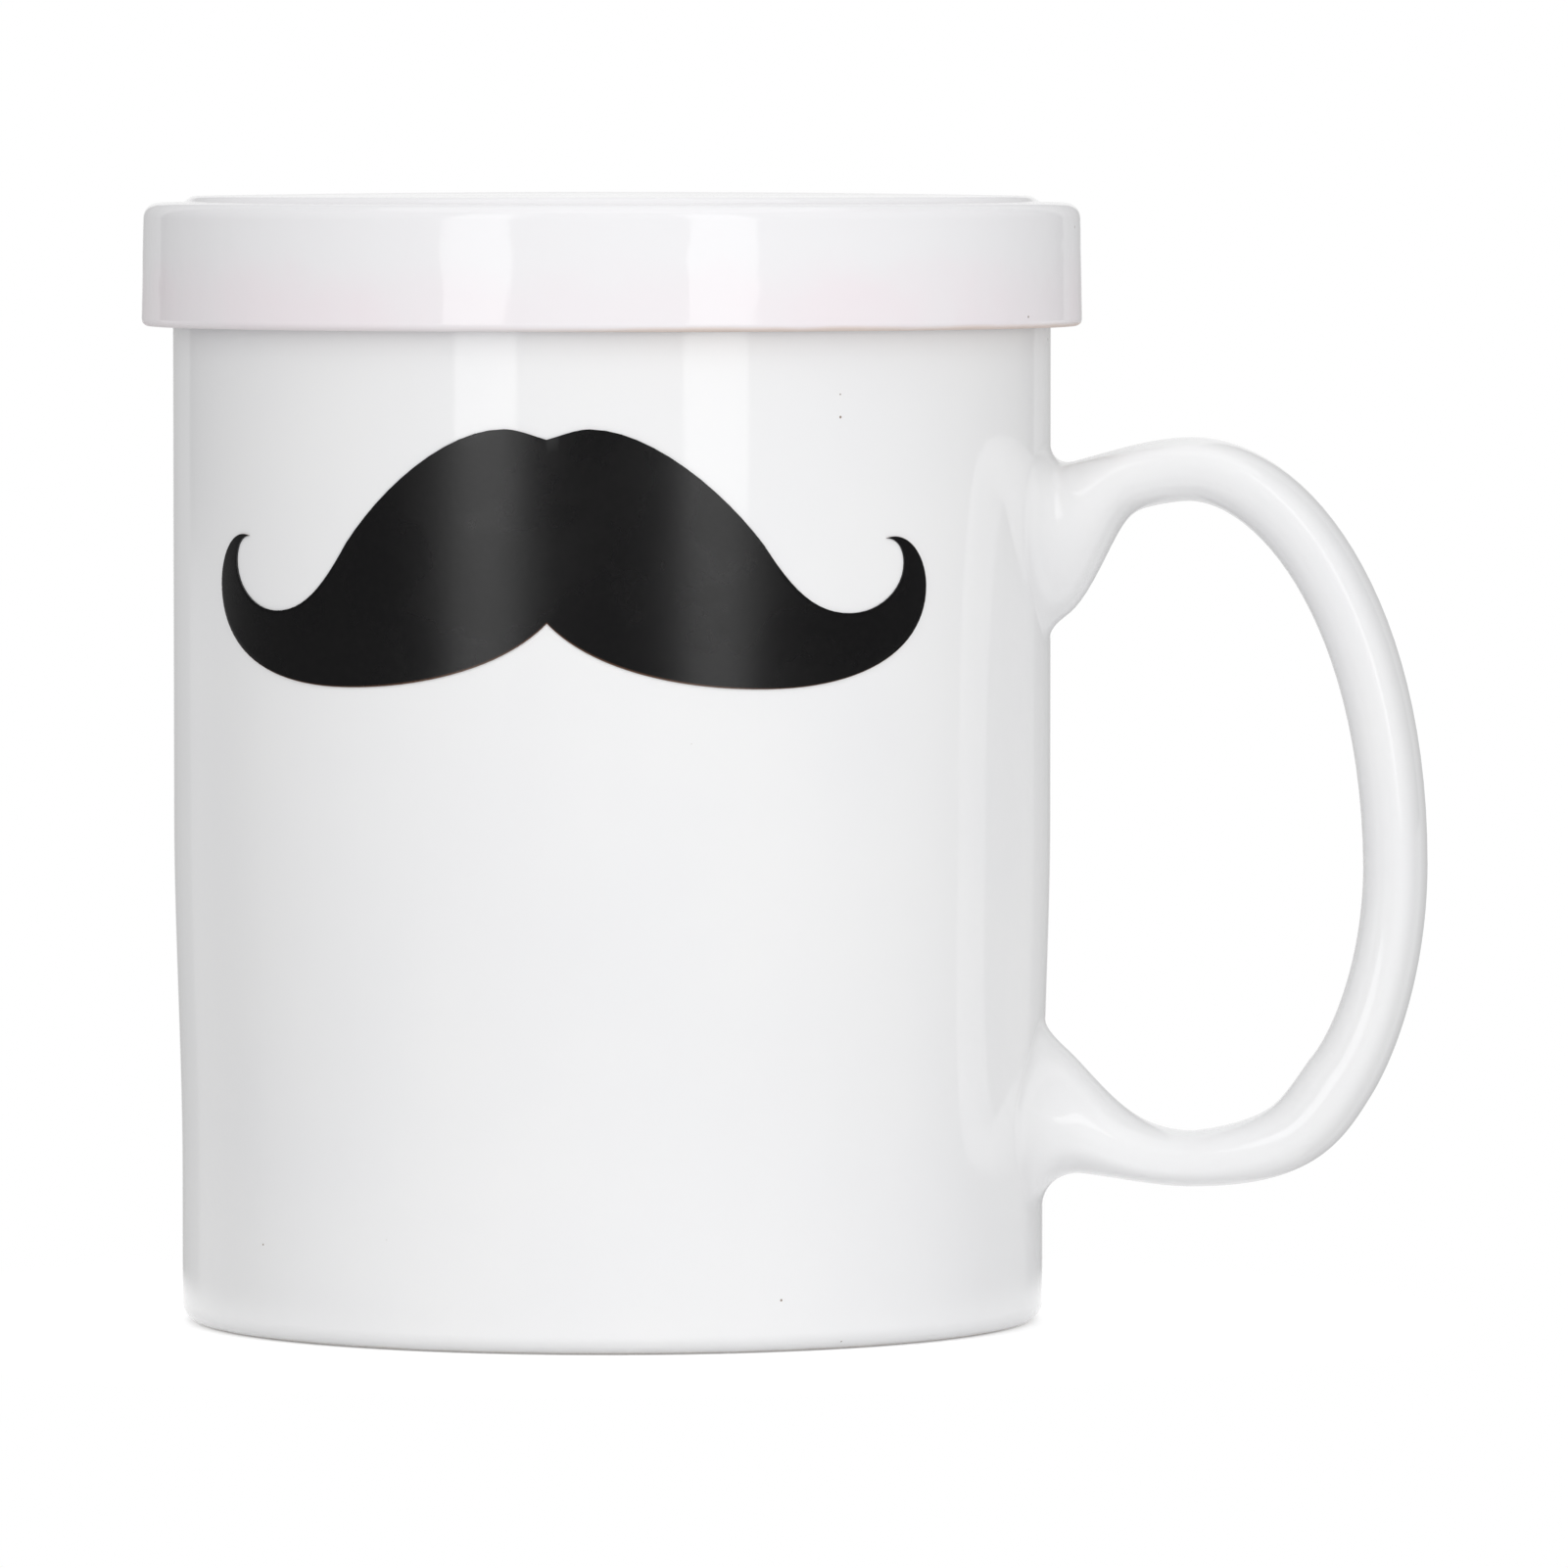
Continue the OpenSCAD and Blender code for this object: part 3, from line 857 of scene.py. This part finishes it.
def make_camera():
    bpy.ops.object.camera_add(
        location=around_cup(CAMERA_AZIMUTH, CAMERA_DISTANCE, CAMERA_HEIGHT),
        rotation=(math.pi / 2 - CAMERA_PITCH, 0, CAMERA_AZIMUTH - CAMERA_YAW),
    )
    camera = bpy.context.object
    camera.data.lens = CAMERA_LENS
    camera.data.sensor_width = SENSOR_W
    bpy.context.scene.camera = camera


def make_soft_box(name, azimuth, distance, size, centre_z, radiance, tilt=0, reflected=True):
    """A rectangular lamp of an even radiance that faces the axis of the cup, tilted down. The azimuth
    counts from the camera."""
    bpy.ops.object.light_add(
        type="AREA",
        location=around_cup(CAMERA_AZIMUTH + azimuth, distance, centre_z),
        rotation=(math.pi / 2 - tilt, 0, CAMERA_AZIMUTH + azimuth),
    )
    lamp = bpy.context.object
    lamp.name = name
    lamp.data.shape = "RECTANGLE"
    lamp.data.size, lamp.data.size_y = size
    lamp.data.energy = radiance * math.pi * size[0] * size[1]
    lamp.visible_camera = False
    lamp.visible_glossy = reflected


def seen_directly(nodes):
    """1 for camera, glossy and transmission rays, and 0 for light that falls on a surface."""
    path = nodes.add("LightPath").outputs
    seen = nodes.math("MAXIMUM", path["Is Camera Ray"], path["Is Glossy Ray"])
    return nodes.math("MAXIMUM", seen, path["Is Transmission Ray"])


def make_floor():
    deselect_everything()
    bpy.ops.mesh.primitive_circle_add(
        vertices=STAGE_SIDES, radius=FLOOR_R, fill_type="NGON", location=(0, 0, -FLOOR_GAP)
    )
    floor = bpy.context.object
    floor.name = "studio_floor"
    material = bpy.data.materials.new("pale_floor")
    material.use_nodes = True
    nodes = Nodes(material.node_tree)
    material.node_tree.nodes.clear()
    position = nodes.add("TexCoord").outputs["Object"]
    distance = nodes.add("VectorMath", {0: position}, operation="LENGTH").outputs["Value"]
    matt = nodes.add("BsdfDiffuse", {"Color": FLOOR_GREY}).outputs[0]
    white = nodes.math("MULTIPLY", seen_directly(nodes), FLOOR_GLOW)
    glow = nodes.add("Emission", {"Color": WHITE, "Strength": white})
    lit = nodes.add("AddShader", {0: matt, 1: glow.outputs[0]}).outputs[0]
    clear = nodes.add("BsdfTransparent").outputs[0]
    fade = nodes.ramp(distance, *FLOOR_FADE)
    below = nodes.add("NewGeometry").outputs["Backfacing"]
    hidden = nodes.math("MAXIMUM", fade, below)
    shown = nodes.add("MixShader", {0: hidden, 1: lit, 2: clear}).outputs[0]
    nodes.add("OutputMaterial", {"Surface": shown})
    floor.data.materials.append(material)


def make_walls():
    """Grey studio walls, dark behind the camera, that only reflections see."""
    deselect_everything()
    bpy.ops.mesh.primitive_cylinder_add(
        vertices=STAGE_SIDES, radius=WALL_R, depth=WALL_H, end_fill_type="NOTHING"
    )
    walls = bpy.context.object
    walls.name = "studio_walls"
    material = bpy.data.materials.new("wall_grey")
    material.use_nodes = True
    nodes = Nodes(material.node_tree)
    material.node_tree.nodes.clear()
    position = nodes.add("TexCoord").outputs["Object"]
    view = (-math.sin(CAMERA_AZIMUTH), math.cos(CAMERA_AZIMUTH), 0)
    level = nodes.add("VectorMath", {0: position, 1: (1, 1, 0)}, operation="MULTIPLY").outputs[0]
    level = nodes.add("VectorMath", {0: level}, operation="NORMALIZE").outputs[0]
    behind = nodes.add("VectorMath", {0: level, 1: view}, operation="DOT_PRODUCT").outputs["Value"]
    height = nodes.add("SeparateXYZ", {"Vector": position}).outputs["Z"]
    table = nodes.ramp(height, *TABLE_EDGE, *TABLE_GREYS)
    sides = nodes.math("MULTIPLY", nodes.ramp(behind, *SIDES_TURN, *SIDES_SHARES), table)
    sheet = nodes.ramp(behind, *SHEET_EDGE)
    sheet_grey = nodes.ramp(behind, *SHEET_MIDDLE, *SHEET_GREYS)
    grey = nodes.math(
        "ADD", nodes.math("MULTIPLY", sides, nodes.math("SUBTRACT", 1.0, sheet)),
        nodes.math("MULTIPLY", sheet_grey, sheet),
    )
    glow = nodes.add("Emission", {"Strength": grey}).outputs[0]
    nodes.add("OutputMaterial", {"Surface": glow})
    walls.data.materials.append(material)
    walls.visible_camera = False
    walls.visible_diffuse = False
    walls.visible_shadow = False
    walls.visible_transmission = False


def make_world():
    world = bpy.data.worlds.new("studio")
    bpy.context.scene.world = world
    world.use_nodes = True
    nodes = Nodes(world.node_tree)
    world.node_tree.nodes.clear()
    ambient = nodes.add("Background", {"Color": WHITE, "Strength": AMBIENT}).outputs[0]
    white = nodes.add("Background", {"Color": WHITE, "Strength": 1.0}).outputs[0]
    shown = nodes.add("MixShader", {0: seen_directly(nodes), 1: ambient, 2: white}).outputs[0]
    nodes.add("OutputWorld", {"Surface": shown})


make_camera()
make_floor()
make_walls()
make_world()
for side, turn, radiance in (("left", -32.4, 2.3), ("right", 26.4, 2.1)):
    make_soft_box("strip_" + side, math.radians(turn), STRIP_DISTANCE, STRIP_SIZE, STRIP_Z, radiance)
make_soft_box(
    "front_fill", azimuth=math.radians(26), distance=1.6, size=(2.0, 0.6), centre_z=0.1, radiance=1.55,
    reflected=False,
)
make_soft_box(
    "back_fill", azimuth=math.pi, distance=0.9, size=(1.5, 1.5), centre_z=1.5, radiance=0.95,
    tilt=math.radians(58), reflected=False,
)
make_soft_box(
    "rear_fill", azimuth=math.pi, distance=1.2, size=(1.0, 0.6), centre_z=0.1, radiance=1.2,
    reflected=False,
)
bpy.context.scene.view_settings.view_transform = "Standard"
